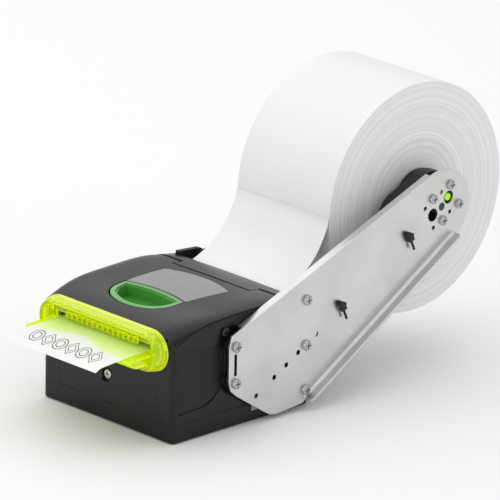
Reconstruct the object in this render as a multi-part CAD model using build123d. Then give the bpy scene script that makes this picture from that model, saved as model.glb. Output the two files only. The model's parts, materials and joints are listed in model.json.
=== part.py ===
from build123d import *
from functools import cache
from math import acos, asin, atan2, cos, exp, pi, radians, sin, sqrt, tan
import os

# Kiosk label and ticket printer with a side-arm roll holder, in millimetres. X runs across the
# paper, Y from the front face to the back, Z up. The origin is the centre of the four base
# screws, on the plane of the screw pads.

# ---------------------------------------------------------------- driving dimensions
PAPER_W = 80.0            # width of the paper web
PAPER_T = 0.3             # thickness the paper is drawn with
BODY_W = 114.2
BODY_D = 112.0
HALF_W = BODY_W / 2
FRONT_Y = -BODY_D / 2     # Y of the front face; depths below are measured back from it
WALL = 2.2
GAP = 0.3                 # parting gap between mouldings
CORNER_R = 3.5            # vertical corners of the housing

PAD_H = 0.5               # screw pads under the base
PAD_R = 6.0
BASE_SCREW = 49.0         # half the spacing of the base screws, both ways
BASE_HOLE_R = 2.2
TRAY_TOP = 12.0

ROLL_D, ROLL_Z = 215.4, 103.7     # depth and height of the roll's axis
ROLL_R = 72.6
CORE_OUT, CORE_IN = 16.5, 12.9
SLEEVE_R = 12.6
SPINDLE_R = 5.0

ARM_IN, ARM_OUT = 61.5, 63.0      # X of the arm plate's two faces
FLANGE_IN, FLANGE_OUT = 57.6, 69.5
ARM_END_R = 23.3
ARM_SCREWS = [(45.3, 53.2), (45.3, 30.2), (103.0, 69.6), (103.0, 41.1), (103.0, 12.9)]
HUB_SCREWS = [(222.3, 116.3), (229.7, 102.6), (207.7, 110.2), (216.3, 94.8)]
SENSOR_EYE = (221.2, 108.5)
HUB_BIG_HOLE = (208.0, 99.9)
SMALL_HOLES = [(214.9, 113.0), (201.5, 105.3), (208.8, 91.6), (222.5, 99.0)]
STEP_HOLES = [(111.6, 46.0), (96.8, 37.7), (87.1, 32.1), (77.3, 26.5), (62.6, 18.3)]
TIE_SPOTS = [(187.3, 90.5), (131.4, 59.2)]

HINGE_D, HINGE_Z = 89.0, 68.0     # cover hinge
TAB_X = 34.0                      # the cover's hinge tabs are outside this
COVER_MID_END, COVER_TAB_END = 82.8, 90.2
DECK_MID, DECK_TAB, DECK_END = 84.4, 92.7, 101.6

MOUTH_Z = 56.2                    # centre height of the mouth
PLATEN_D, PLATEN_Z, PLATEN_R = 24.0, 49.0, 7.0
NIP_Z = PLATEN_Z + PLATEN_R
IDLER_D, IDLER_Z = 44.5, 36.5
MOTOR_D, MOTOR_Z = 63.7, 36.52
EJECT_D, EJECT_Z, EJECT_R = 7.5, 52.0, 4.0
PINCH_Z, PINCH_R = 60.2, 3.6
BLADE_D = 13.0
CUT_PINION_D, CUT_PINION_Z = 21.2, 32.0
INLET_D, INLET_Z, INLET_R = 118.5, 66.2, 5.0
PLATE_IN, PLATE_OUT = 46.0, 47.2  # chassis side plates
GEAR_IN, GEAR_OUT = 48.2, 52.2    # gears run between the plates and the housing
DRIVE_MODULE, RACK_MODULE = 0.8, 0.8

LEVER_PIN_D, LEVER_PIN_Z = 15.3, 68.7
LATCH_D, LATCH_Z, LATCH_R = 16.4, 61.5, 1.5
SHIELD_CLEAR = 0.8
SOCKETS = [(-30, 14.4, 13), (0, 33, 14.6), (30, 15, 15)]    # X, width and height of the rear openings


# ---------------------------------------------------------------- helpers
def at(depth):
    """Y of a point this far behind the front face."""
    return FRONT_Y + depth


def block(x0, x1, d0, d1, z0, z1):
    """Box between two widths, two depths and two heights."""
    return Pos((x0 + x1) / 2, at((d0 + d1) / 2), (z0 + z1) / 2) * Box(x1 - x0, d1 - d0, z1 - z0)


def rod_x(radius, x0, x1, depth, z):
    """Cylinder along X."""
    return Pos((x0 + x1) / 2, at(depth), z) * Rot(0, 90, 0) * Cylinder(radius, x1 - x0)


def rod_y(radius, d0, d1, x, z):
    """Cylinder along Y."""
    return Pos(x, at((d0 + d1) / 2), z) * Rot(90, 0, 0) * Cylinder(radius, d1 - d0)


def rod_z(radius, z0, z1, x, depth):
    """Cylinder along Z."""
    return Pos(x, at(depth), (z0 + z1) / 2) * Cylinder(radius, z1 - z0)


def side_face(points):
    """Face in the Y-Z plane from (depth, z) corners."""
    return make_face(Polyline(*[(at(d), z) for d, z in points], close=True))


def slab_x(face, x0, x1):
    """Extrudes a face drawn in (Y, Z) from x0 to x1."""
    return extrude(Plane.YZ.offset(x0) * face, amount=x1 - x0)


def prism_x(points, x0, x1):
    return slab_x(side_face(points), x0, x1)


def upright(depth, z=0.0):
    """Plane across the paper at a depth, looking forwards."""
    return Plane((0, at(depth), z), x_dir=(1, 0, 0), z_dir=(0, -1, 0))


def stadium_y(width, height, depth, z=MOUTH_Z):
    """Stadium-shaped face that looks forwards, at a depth."""
    return upright(depth, z) * SlotOverall(width, height)


def both_sides(shape):
    return shape + mirror(shape, about=Plane.YZ)


def third_corner(a, b, reach_a, reach_b):
    """Point at these distances from a and b, on the lower side of the line from a to b."""
    dy, dz = b[0] - a[0], b[1] - a[1]
    span = sqrt(dy * dy + dz * dz)
    run = (reach_a ** 2 - reach_b ** 2 + span ** 2) / (2 * span)
    drop = sqrt(reach_a ** 2 - run ** 2)
    return a[0] + (dy * run - dz * drop) / span, a[1] + (dz * run + dy * drop) / span


def gear(teeth, module, bore, x0, x1, depth, z, turn=0.0, thin=0.14):
    """Involute spur gear on an X axis. thin is the backlash, as a share of the module."""
    pitch_r = module * teeth / 2
    base_r = pitch_r * cos(radians(20))
    tip_r, root_r = pitch_r + 0.92 * module, pitch_r - 1.2 * module
    at_pitch = tan(radians(20)) - radians(20)
    half = pi / (2 * teeth) - thin * module / (2 * pitch_r)
    start_r = max(base_r, root_r)
    flank = []
    for k in range(5):
        r = start_r + (tip_r - start_r) * k / 4
        roll = acos(min(1.0, base_r / r))
        flank.append((r, half + at_pitch - (tan(roll) - roll)))
    outline = []
    for n in range(teeth):
        mid = 2 * pi * n / teeth + turn
        outline.append((root_r, mid - flank[0][1]))
        outline += [(r, mid - a) for r, a in flank]
        outline += [(r, mid + a) for r, a in reversed(flank)]
        outline.append((root_r, mid + flank[0][1]))
    if start_r <= root_r:
        outline = [p for i, p in enumerate(outline) if i % 12 not in (0, 11)]
    blank = make_face(Polyline(*[(r * cos(a), r * sin(a)) for r, a in outline], close=True))
    blank = Plane.YZ * (blank - Circle(bore))
    return Pos(x0, at(depth), z) * extrude(blank, amount=x1 - x0)


def pan_screw(x0, depth, z, length, head_r, head_h, shank_r):
    """Pan-head screw along -X: its head stands on x0 and its shank goes in from there."""
    head = rod_x(head_r, x0, x0 + head_h, depth, z)
    head = fillet(head.edges().group_by(Axis.X)[-1], head_h * 0.55)
    cross = block(x0 + head_h - 1.1, x0 + head_h + 1, depth - 2.1, depth + 2.1, z - 0.4, z + 0.4)
    cross += block(x0 + head_h - 1.1, x0 + head_h + 1, depth - 0.4, depth + 0.4, z - 2.1, z + 2.1)
    return head - cross + rod_x(shank_r, x0 - length, x0 + 0.2, depth, z)


def teardrop(value, stations):
    """Straight-line look-up of value in (position, result) pairs."""
    for (a, fa), (b, fb) in zip(stations, stations[1:]):
        if value <= b:
            return fa + (fb - fa) * (value - a) / (b - a)
    return stations[-1][1]


# ---------------------------------------------------------------- hood surface and seam
HOOD_TOP = [(0, 67.1), (8, 69.7), (20, 71.9), (40, 73.3), (62, 73.2), (86, 72.0), (107, 68.8)]
SEAM = [(0, 59.2), (9.5, 64.2), (21, 68.2), (36, 70.1), (51, 70.9), (70, 71.0), (88, 70.0), (107, 67.4)]


def hood_section(depth, inset):
    """Cross-section of the hood: a flat crown that rounds down to the seam at each side."""
    w = HALF_W - 0.2 - inset
    top = teardrop(depth, HOOD_TOP) - inset
    edge = teardrop(depth, SEAM) + 0.5 - inset * 0.75
    rise = top - edge
    foot = edge - 2.4 - inset * 4
    right = [(w, edge), (w - 2.6, edge + 0.45 * rise), (w - 7.5, edge + 0.82 * rise), (w - 17, top - 0.12)]
    left = [(-x, z) for x, z in reversed(right)]
    crown = Spline(*right, (0, top + 0.15), *left)
    rim = Polyline((-w, edge), (-w, foot), (w, foot), (w, edge))
    return upright(depth) * make_face(Wire([*crown.edges(), *rim.edges()]))


@cache
def whole_hood(inset):
    return loft([hood_section(d, inset) for d, _ in HOOD_TOP])


def hood(inset, start, end):
    """Stretch of the hood between two depths; inset shrinks its surface inwards."""
    return whole_hood(inset) & block(-70, 70, start, end, 20, 100)


def seam_prism(lift, x):
    """Everything above the seam, raised by lift."""
    line = [(d, z + lift) for d, z in SEAM]
    line = [(-20, line[0][1]), *line, (BODY_D + 20, line[-1][1])]
    curve = Spline(*[(at(d), z) for d, z in line[1:-1]])
    start, stop = line[0], line[-1]
    rest = Polyline((at(line[-2][0]), line[-2][1]), (at(stop[0]), stop[1]), (at(stop[0]), 120),
                    (at(start[0]), 120), (at(start[0]), start[1]), (at(line[1][0]), line[1][1]))
    return slab_x(make_face(Wire([*curve.edges(), *rest.edges()])), -x, x)


def shield_face(grow):
    """Plan outline of the lever and inlay recess, in the X-Y plane."""
    nose = ThreePointArc((-17, at(17.4)), (0, at(13.4)), (17, at(17.4)))
    right = ThreePointArc((17, at(17.4)), (22.6, at(22.6)), (25.2, at(31)))
    right_side = ThreePointArc((25.2, at(31)), (26.8, at(50)), (27.8, at(72)))
    back = ThreePointArc((27.8, at(72)), (0, at(78)), (-27.8, at(72)))
    left_side = ThreePointArc((-27.8, at(72)), (-26.8, at(50)), (-25.2, at(31)))
    left = ThreePointArc((-25.2, at(31)), (-22.6, at(22.6)), (-17, at(17.4)))
    face = make_face(Wire([nose, right, right_side, back, left_side, left]))
    return offset(face, amount=grow) if grow else face


def split_arc(shift):
    """Plan half with everything in front of the arc between the lever and the inlay."""
    y = at(32.0) + shift
    arc = ThreePointArc((-40, y), (0, at(41.0) + shift), (40, y))
    rest = Polyline((40, y), (40, at(-30)), (-40, at(-30)), (-40, y))
    return make_face(Wire([arc, *rest.edges()]))


def column(face, z0, z1):
    return extrude(Pos(0, 0, z0) * face, amount=z1 - z0)


# ---------------------------------------------------------------- housing
def base_tray():
    tray = block(-HALF_W, HALF_W, 0, BODY_D, PAD_H, TRAY_TOP)
    tray = fillet(tray.edges().filter_by(Axis.Z), CORNER_R)
    tray = fillet(tray.edges().group_by(Axis.Z)[0], 0.9)
    inner = block(-HALF_W + WALL, HALF_W - WALL, WALL, BODY_D - WALL, PAD_H + WALL, TRAY_TOP + 1)
    tray -= fillet(inner.edges().filter_by(Axis.Z), CORNER_R - WALL)
    for sx in (-1, 1):
        for d in (BODY_D / 2 - BASE_SCREW, BODY_D / 2 + BASE_SCREW):
            tray += rod_z(PAD_R - 0.2, 0, 6.5, sx * BASE_SCREW, d)
            tray -= rod_z(BASE_HOLE_R, -1, 8, sx * BASE_SCREW, d)
    tray -= rod_x(2.1, 47, 60, *ARM_SCREWS[4])
    keep = block(-HALF_W, HALF_W, 0, BODY_D, -1, TRAY_TOP + 1)
    for d in (20, 40, 60, 80, 95):
        tray -= block(-14, 14, d - 1, d + 1, -1, PAD_H + WALL + 0.5)
    for x, w, _ in SOCKETS:
        tray -= block(x - w / 2, x + w / 2, BODY_D - WALL - 1, BODY_D + 1, 9.2, TRAY_TOP + 1)
    return tray & keep


def main_shell():
    z0 = TRAY_TOP + GAP
    shell = block(-HALF_W, HALF_W, 0, BODY_D, z0, 76)
    shell = fillet(shell.edges().filter_by(Axis.Z), CORNER_R)
    inner = block(-HALF_W + WALL, HALF_W - WALL, WALL, BODY_D - WALL, z0 - 1, 80)
    shell -= fillet(inner.edges().filter_by(Axis.Z), CORNER_R - WALL)
    shell -= seam_prism(-GAP, 80)
    shell -= block(-HALF_W + WALL, HALF_W - WALL, BODY_D - WALL - 1, BODY_D + 1, 65.5, 90)
    # mouth, service door, connectors
    shell -= extrude(stadium_y(103.4, 22.4, WALL + 1), amount=WALL + 3)
    shell -= block(-42.3, 42.3, -1, WALL + 1, z0 - 1, 48)
    for x, w, z in SOCKETS:
        shell -= block(x - w / 2, x + w / 2, BODY_D - WALL - 1, BODY_D + 1, z0 - 1, z0 + z)
    # lips that the service door rests on
    for x in (-1, 1):
        shell += block(*sorted((x * 40.5, x * 46)), WALL, WALL + 1.6, z0, 43)
    # pockets for the side panels
    for side in (-1, 1):
        x0, x1 = sorted((side * (HALF_W - 1.1), side * (HALF_W + 1)))
        shell -= slab_x(panel_face(GAP), x0, x1)
    # bosses for the arm screws
    for d, z in ARM_SCREWS:
        if z < 65:
            shell += rod_x(4.6, PLATE_OUT + 1.2, HALF_W - 1, d, z)
    for d, z in ARM_SCREWS:
        shell -= rod_x(2.1, PLATE_OUT, HALF_W + 1, d, z)
    shell -= rod_x(1.6, HALF_W - WALL - 1, HALF_W + 1, 41.5, 62.0)
    for side in (-1, 1):
        shell -= block(*sorted((side * 47.2, side * 51.4)), 104, BODY_D + 1, 55.6, 80)
    return shell - block(-60, 60, -5, BODY_D + 5, 0, z0)


def panel_face(grow):
    """Outline of the side panel: straight in front, swept up behind."""
    g = grow
    top = Line((at(3.9) - g, 57.0 + g), (at(33) + g, 54.6 + g))
    nose = ThreePointArc((at(33) + g, 54.6 + g), (at(39.6) + g, 51.6 + g), (at(41) + g, 45))
    heel = ThreePointArc((at(41) + g, 45), (at(36.5) + g, 25.5 - g), (at(20), 18.6 - g))
    foot = Line((at(20), 18.6 - g), (at(3.9) - g, 17.6 - g))
    front = Line((at(3.9) - g, 17.6 - g), (at(3.9) - g, 57.0 + g))
    return make_face(Wire([top, nose, heel, foot, front]))


def side_panel(side):
    x0, x1 = sorted((side * (HALF_W - 1.05), side * (HALF_W - 0.5)))
    return slab_x(panel_face(0), x0, x1)


def side_panels():
    return Compound([side_panel(-1), side_panel(1)])


def rear_deck():
    deck = (hood(0, DECK_MID, DECK_END) - hood(WALL, DECK_MID - 4, DECK_END + 4)) & seam_prism(0.1, 80)
    for side in (-1, 1):
        deck -= block(*sorted((side * (TAB_X - 0.6), side * 60)), DECK_MID - 2, DECK_TAB, 50, 90)
    deck += block(-TAB_X + 1, TAB_X - 1, DECK_MID, DECK_MID + 2, 66.0, 70.6)
    # cheeks down inside the shell, which carry the hinge pins
    for side in (-1, 1):
        x0, x1 = sorted((side * (TAB_X - 1.6), side * (TAB_X - 0.6)))
        deck += prism_x([(DECK_MID, 65.4), (96, 66.0), (101, 67.8), (101, 68.6), (DECK_MID, 70.6)], x0, x1)
    deck -= block(45, 60, ARM_SCREWS[2][0] - 2.6, DECK_END + 2, 60, 90)
    return deck - rod_x(1.5, -60, 60, HINGE_D, HINGE_Z)


def service_door():
    door = block(-42, 42, 0, WALL - 0.4, TRAY_TOP + GAP, 42.6)
    door += block(-38, 38, WALL - 0.4, WALL + 0.8, TRAY_TOP + 3, 40)
    door -= rod_y(4.6, -1, 1.4, 0, 29.8)
    door -= block(-4.6, 0.6, -1, 1.4, 24.6, 29.8)
    return door - rod_y(1.7, -1, 5, 0, 29.8)


def case_screws():
    """Silver screw of the service door and black screw in the right side."""
    head = rod_y(3.0, -0.2, 1.4, 0, 29.8)
    head = fillet(head.edges().group_by(Axis.Y)[0], 0.9)
    head -= block(-1.7, 1.7, -1, 0.6, 29.45, 30.15) + block(-0.35, 0.35, -1, 0.6, 28.1, 31.5)
    side = pan_screw(HALF_W, 41.5, 62.0, 6.0, 2.9, 1.8, 1.5)
    return Compound([head + rod_y(1.5, 1.3, 9, 0, 29.8), side])


# ---------------------------------------------------------------- mouth
BEZEL_BACK, BEZEL_FRONT = -0.6, -9.0


def bezel_frame():
    outer = loft([stadium_y(107, 26, BEZEL_BACK), stadium_y(106, 25.2, -4), stadium_y(102, 22.6, BEZEL_FRONT)])
    inner = loft([stadium_y(101.6, 20.6, -2.3), stadium_y(97.4, 18.0, BEZEL_FRONT - 0.5)])
    frame = outer - inner
    rim = frame.edges().filter_by(lambda e: abs(e.center().Y - at(BEZEL_FRONT)) < 0.05)
    frame = fillet(rim, 0.8)
    plug = extrude(stadium_y(102.8, 21.8, 2.0), amount=2.6) - extrude(stadium_y(99.4, 18.4, 3.0), amount=5)
    frame += plug - block(-60, 60, -0.6, 3, 58.0, 70)
    frame -= block(-43, 43, -4.2, 3, 55.6, 64.9)
    # light-guide ledge round the inside
    ledge = extrude(stadium_y(98.2, 17.4, -2.2), amount=1.8) - extrude(stadium_y(93.4, 12.6, 0), amount=5)
    frame += ledge - block(-46, 46, -6, 1, 40, 70)
    for side in (-1, 1):
        frame += block(*sorted((side * 45.2, side * 47.0)), -7.4, -1.0, 48.2, 62.5)
    return frame


def bezel_comb():
    comb = block(-42.6, 42.6, -3.6, -1.0, 60.0, 64.4)
    for n in range(14):
        x = -29.25 + n * 4.5
        tooth = block(x - 1.1, x + 1.1, -6.4, -3.2, 58.2, 62.4)
        comb += fillet(tooth.edges().filter_by(Axis.X).group_by(Axis.Y)[0], 1.4)
    return comb


def tongue_edge(x):
    """Depth of the tongue's front edge, hollowed for a thumb."""
    return -24.6 + 8.6 * exp(-(((x + 5.0) / 16.0) ** 2))


def bezel_tongue():
    xs = [-45 + 90 * k / 20 for k in range(21)]
    edge = Spline(*[(x, at(tongue_edge(x))) for x in xs])
    rest = Polyline((45, at(tongue_edge(45))), (45, at(-2.6)), (-45, at(-2.6)), (-45, at(tongue_edge(-45))))
    plan = make_face(Wire([*edge.edges(), *rest.edges()]))
    slope = [(-30, 52.7), (-2, 53.9), (-2, 55.9), (-30, 54.7)]
    plate = column(plan, 45, 65) & prism_x(slope, -50, 50)
    for side in (-1, 1):
        x0, x1 = sorted((side * 43.4, side * 45))
        plate += prism_x([(-2.6, 55.0), (-24.4, 54.3), (-19, 49.4), (-9.4, 49.4), (-9.4, 48.4), (-2.6, 48.4)], x0, x1)
    plate += prism_x([(-19.6, 49.4), (-18.6, 50.8), (-9.4, 50.6), (-9.4, 49.4)], -43.4, 43.4)
    for x in (-30, -15, 0, 15, 30):
        plate += prism_x([(-2.6, 54.2), (-16, 53.6), (-12, 50.4), (-9.6, 50.4)], x - 0.6, x + 0.6)
    return plate


def led_board():
    board = block(-41, 41, -0.2, 0.8, 61.0, 64.6)
    lamps = [block(x - 1.6, x + 1.6, -0.95, -0.25, 61.6, 63.4) for x in (-35, -21, -7, 7, 21, 35)]
    return Compound([board, *lamps])


# ---------------------------------------------------------------- cover and its pieces
def cover():
    shell = (hood(0, 0.1, COVER_TAB_END) - hood(WALL, 2.4, COVER_TAB_END + 3)) & seam_prism(0.1, 80)
    front = block(-51.8, 51.8, -1, 2.4, 40, 65.2)
    shell -= front
    shell -= block(-TAB_X, TAB_X, COVER_MID_END, 96, 50, 90)
    for side in (-1, 1):
        shell -= block(*sorted((side * 54.4, side * 60)), HINGE_D - 1.4, 96, 50, 90)
    # hinge knuckles
    for side in (-1, 1):
        x0, x1 = sorted((side * (TAB_X + 0.4), side * (HALF_W - WALL - 0.6)))
        knuckle = rod_x(3.0, x0, x1, HINGE_D, HINGE_Z)
        knuckle += prism_x([(81, 69), (HINGE_D, HINGE_Z - 3), (HINGE_D, 72), (81, 72)], x0, x1)
        shell += knuckle & hood(0.4, 70, 99)
    shell -= rod_x(1.56, -60, 60, HINGE_D, HINGE_Z)
    # opening for the lever, and the sunk seat of the inlay
    opening = column(shield_face(SHIELD_CLEAR) & split_arc(1.2), 55, 80)
    shell -= opening
    seat = column(shield_face(0.15) - split_arc(1.2), 60, 90) & (hood(0, 20, 90) - hood(0.7, 18, 92))
    shell -= seat
    # ribs under the skin and bosses for the lever's pin
    for d in (50, 66):
        rib = block(-50, 50, d - 0.8, d + 0.8, 68.2, 80) & hood(1.0, 40, 80)
        shell += rib
    for side in (-1, 1):
        boss = block(*sorted((side * 14.0, side * 19.0)), 13.4, 17.2, 67.1, 72) & hood(1.0, 3, 40)
        shell += boss
        arm = block(*sorted((side * 48.6, side * 50.8)), 13.4, 19.4, 59.3, 72) & hood(1.0, 3, 40)
        shell += arm
        lug = block(*sorted((side * 39.0, side * 41.4)), 41.8, 47.2, 61.6, 74) & hood(1.0, 3, 60)
        shell += lug
        pinch = block(*sorted((side * 43.2, side * 45.0)), 4.8, 10.2, 58.5, 70) & hood(1.0, 3, 40)
        shell += pinch
        holder = block(*sorted((side * 24.0, side * 39.0)), 11.0, 13.2, 62.6, 72) & hood(1.0, 3, 40)
        shell += holder
    shell -= column(shield_face(SHIELD_CLEAR) & split_arc(1.2), 55, 80)
    shell -= rod_x(1.02, -18, 18, LEVER_PIN_D, LEVER_PIN_Z)
    shell -= rod_x(LATCH_R + 0.06, -52, 52, LATCH_D, LATCH_Z)
    shell -= rod_x(1.5, -42, 42, HEAD_PIVOT_D, HEAD_PIVOT_Z)
    shell -= rod_x(1.06, -46, 46, EJECT_D, PINCH_Z)
    # small latch notch beside the inlay
    return shell - block(-3.2, 3.2, 77.6, 79.4, 72.6, 80)


def cover_inlay():
    plate = column(shield_face(-0.1) - split_arc(1.3), 60, 90) & (hood(0.02, 20, 90) - hood(0.65, 18, 92))
    return plate


def cover_pins():
    """Two hinge pins, the lever's pin and the print head's pivot."""
    pin = rod_x(1.48, TAB_X - 1.5, HALF_W - WALL - 1.2, HINGE_D, HINGE_Z)
    lever = rod_x(1.0, -17.4, 17.4, LEVER_PIN_D, LEVER_PIN_Z)
    head = rod_x(1.48, -41.2, 41.2, HEAD_PIVOT_D, HEAD_PIVOT_Z)
    return Compound([pin, mirror(pin, about=Plane.YZ), lever, head])


def fixed_blade():
    blade = prism_x([(11.6, 58.4), (12.75, 58.4), (12.75, 62.6), (11.6, 62.6)], -40.5, 40.5)
    return blade


def release_lever():
    plan = shield_face(-0.2) & split_arc(0)
    body = column(plan, 55, 90) & (hood(0.02, 2, 60) - hood(2.6, 1, 62))
    # scoop: an open-topped cup that the finger drops into
    rim = 3.2
    cup_plan = shield_face(-rim) & split_arc(-rim)
    body -= column(cup_plan, 55, 90)
    cup = column(cup_plan, 64.4, 90) & hood(0.8, 2, 60)
    hollow = column(shield_face(-rim - 1.3) & split_arc(-rim - 1.3), 55, 90)
    slope = prism_x([(0, 70.6), (17, 69.0), (30, 65.8), (50, 65.6), (50, 90), (0, 90)], -40, 40)
    body += cup - (hollow & slope)
    body += block(-12.0, 12.0, 13.8, 17.2, 67.1, 71) & column(plan, 55, 90) & hood(0.4, 2, 40)
    return body - rod_x(1.04, -20, 20, LEVER_PIN_D, LEVER_PIN_Z)


def latch_bar():
    bar = rod_x(LATCH_R, -50.6, 50.6, LATCH_D, LATCH_Z)
    for side in (-1, 1):
        x0, x1 = sorted((side * 42.0, side * 44.0))
        hook = [(15.0, 62.4), (17.8, 62.4), (17.8, 52.8), (13.7, 52.8), (13.7, 54.4), (15.0, 54.8)]
        bar += prism_x(hook, x0, x1)
    return bar


def coil_spring(radius, wire, z0, z1, turns, x, depth):
    """Compression spring on a Z axis."""
    path = Helix(pitch=(z1 - z0) / turns, height=z1 - z0, radius=radius)
    coil = sweep(Plane(origin=path @ 0, z_dir=path % 0) * Circle(wire), path=path)
    return Pos(x, at(depth), z0) * coil


# ---------------------------------------------------------------- print head
HEAD_PIVOT_D, HEAD_PIVOT_Z = 44.5, 63.9


def print_head():
    head = prism_x([(19, 56.7), (30, 57.6), (30, 58.8), (19, 58.0)], -40, 40)
    return head + block(-36, 36, 21.2, 23.8, 56.75, 57.4)


def head_heatsink():
    side = [(19.4, 58.24), (30, 59.04), (46.6, 61.8), (46.6, 65.8), (42.4, 65.8), (40, 62.6), (29, 61.4), (19.4, 60.4)]
    sink = prism_x(side, -38.4, 38.4)
    for x in range(-30, 31, 6):
        sink -= block(x - 1.2, x + 1.2, 18, 28.5, 59.4, 63)
    return sink - rod_x(1.5, -42, 42, HEAD_PIVOT_D, HEAD_PIVOT_Z)


def head_springs():
    return Compound([coil_spring(2.0, 0.35, 61.5, 69.3, 6, x, 25.2) for x in (-33, 33)])


# ---------------------------------------------------------------- chassis and drive
def chassis_plate(side):
    x0, x1 = sorted((side * PLATE_IN, side * PLATE_OUT))
    outline = [(14, 5.0), (98, 5.0), (98, 7.2), (106, 7.2), (106, 60), (58, 60), (46, 57.4), (4, 57.4), (4, 7.2), (14, 7.2)]
    plate = prism_x(outline, x0, x1)
    for hole_r, d, z in ((4.2, PLATEN_D, PLATEN_Z), (2.6, EJECT_D, EJECT_Z)):
        plate -= rod_x(hole_r, x0 - 1, x1 + 1, d, z)
    catch = sorted((side * 42.2, side * (PLATE_IN + 0.4)))
    plate += rod_x(1.3, *catch, 11.2, 56.0)
    if side < 0:
        plate += rod_x(1.5, -GEAR_OUT - 0.3, -PLATE_IN, IDLER_D, IDLER_Z)
        plate += rod_x(1.5, -GEAR_OUT - 0.3, -PLATE_IN, *EJECT_IDLER)
        plate -= rod_x(11.1, x0 - 1, x1 + 1, MOTOR_D, MOTOR_Z)
    for d in (88, 98):
        plate -= rod_x(4, x0 - 1, x1 + 1, d, 30)
    return plate


def chassis_left():
    return chassis_plate(-1)


def chassis_right():
    return chassis_plate(1)


def chassis_cross():
    """Floor and rear stay between the two side plates."""
    floor = block(-PLATE_IN, PLATE_IN, 14.5, 97.5, 5.0, 6.2)
    for d in (30, 55, 80):
        floor -= block(-20, 20, d - 4, d + 4, 4, 8)
    bar = block(-PLATE_IN, PLATE_IN, 92, 93.2, 40, 58) + block(-PLATE_IN, PLATE_IN, 86, 93.2, 38.8, 40)
    return Compound([floor, bar])


def paper_ramp():
    """Plate that carries the web from the inlet down to the platen."""
    ramp = prism_x([(34, 55.2), (84, 62.8), (84, 61.6), (34, 54.0)], -45.6, 45.6)
    ramp += prism_x([(84, 62.8), (103, 65.0), (103, 63.8), (84, 61.6)], -40.0, 40.0)
    for side in (-1, 1):
        ramp += prism_x([(36, 54.6), (80, 61.8), (80, 65.8), (36, 58.6)], *sorted((side * 41.6, side * 43.0)))
    return ramp


def bushings():
    """Plain bearings of the platen and the eject shaft."""
    big = rod_x(4.2, 44.4, PLATE_OUT + 0.2, PLATEN_D, PLATEN_Z) - rod_x(3.05, 40, 50, PLATEN_D, PLATEN_Z)
    small = rod_x(2.6, 44.8, PLATE_OUT + 0.2, EJECT_D, EJECT_Z) - rod_x(1.55, 40, 50, EJECT_D, EJECT_Z)
    return Compound([big, mirror(big, about=Plane.YZ), small, mirror(small, about=Plane.YZ)])


def platen_shaft():
    return rod_x(3.0, -GEAR_OUT, 48.0, PLATEN_D, PLATEN_Z)


def platen_rubber():
    tube = rod_x(PLATEN_R - 0.05, -41, 41, PLATEN_D, PLATEN_Z) - rod_x(3.0, -45, 45, PLATEN_D, PLATEN_Z)
    return tube


PINION_TEETH, IDLER_TEETH, PLATEN_TEETH = 12, 36, 24
EJECT_IDLER_TEETH, EJECT_TEETH = 14, 10
EJECT_IDLER = third_corner((PLATEN_D, PLATEN_Z), (EJECT_D, EJECT_Z),
                           DRIVE_MODULE * (PLATEN_TEETH + EJECT_IDLER_TEETH) / 2,
                           DRIVE_MODULE * (EJECT_TEETH + EJECT_IDLER_TEETH) / 2)


def mesh_turn(from_angle, teeth, driver_teeth, driver_turn):
    """Turn that puts a gap of this gear opposite a tooth of its driver.

    from_angle points from the driver's axis to this gear's, in the Y-Z plane.
    """
    phase = (from_angle - driver_turn) * driver_teeth / (2 * pi)
    return from_angle + pi + (phase + 0.5) * 2 * pi / teeth


def angle_between(a, b):
    return atan2(b[1] - a[1], b[0] - a[0])


IDLER_TURN = mesh_turn(angle_between((MOTOR_D, MOTOR_Z), (IDLER_D, IDLER_Z)), IDLER_TEETH, PINION_TEETH, 0)
PLATEN_TURN = mesh_turn(angle_between((IDLER_D, IDLER_Z), (PLATEN_D, PLATEN_Z)), PLATEN_TEETH, IDLER_TEETH,
                        IDLER_TURN)
EJECT_IDLER_TURN = mesh_turn(angle_between((PLATEN_D, PLATEN_Z), EJECT_IDLER), EJECT_IDLER_TEETH,
                             PLATEN_TEETH, PLATEN_TURN)
EJECT_TURN = mesh_turn(angle_between(EJECT_IDLER, (EJECT_D, EJECT_Z)), EJECT_TEETH, EJECT_IDLER_TEETH,
                       EJECT_IDLER_TURN)


def platen_gear():
    return gear(PLATEN_TEETH, DRIVE_MODULE, 3.0, -GEAR_OUT, -GEAR_IN, PLATEN_D, PLATEN_Z, PLATEN_TURN)


def idler_gear():
    wheel = gear(IDLER_TEETH, DRIVE_MODULE, 1.56, -GEAR_OUT, -GEAR_IN, IDLER_D, IDLER_Z, IDLER_TURN)
    for k in range(5):
        a = 2 * pi * k / 5
        wheel -= rod_x(2.6, -60, -40, IDLER_D + 8.2 * cos(a), IDLER_Z + 8.2 * sin(a))
    return wheel


def motor_pinion():
    pinion = gear(PINION_TEETH, DRIVE_MODULE, 1.0, -GEAR_OUT, -GEAR_IN, MOTOR_D, MOTOR_Z, 0)
    return pinion + rod_x(1.2, -GEAR_OUT, -44.6, MOTOR_D, MOTOR_Z)


def drive_motor():
    can = block(-45.9, -20, MOTOR_D - 17.5, MOTOR_D + 17.5, MOTOR_Z - 17.5, MOTOR_Z + 17.5)
    can = chamfer(can.edges().filter_by(Axis.X), 4)
    can -= block(-42.6, -23.4, MOTOR_D - 20, MOTOR_D + 20, MOTOR_Z - 20, MOTOR_Z - 16.4)
    can += rod_x(11.0, -47.3, -45, MOTOR_D, MOTOR_Z)
    return can - rod_x(1.5, -50, -42, MOTOR_D, MOTOR_Z)


def eject_shaft():
    return rod_x(1.5, -GEAR_OUT, 47.9, EJECT_D, EJECT_Z)


def eject_rollers():
    rings = []
    for x in (-30, -10, 10, 30):
        rings.append(rod_x(EJECT_R - 0.05, x - 5, x + 5, EJECT_D, EJECT_Z) - rod_x(1.5, x - 6, x + 6, EJECT_D, EJECT_Z))
    return Compound(rings)


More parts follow.
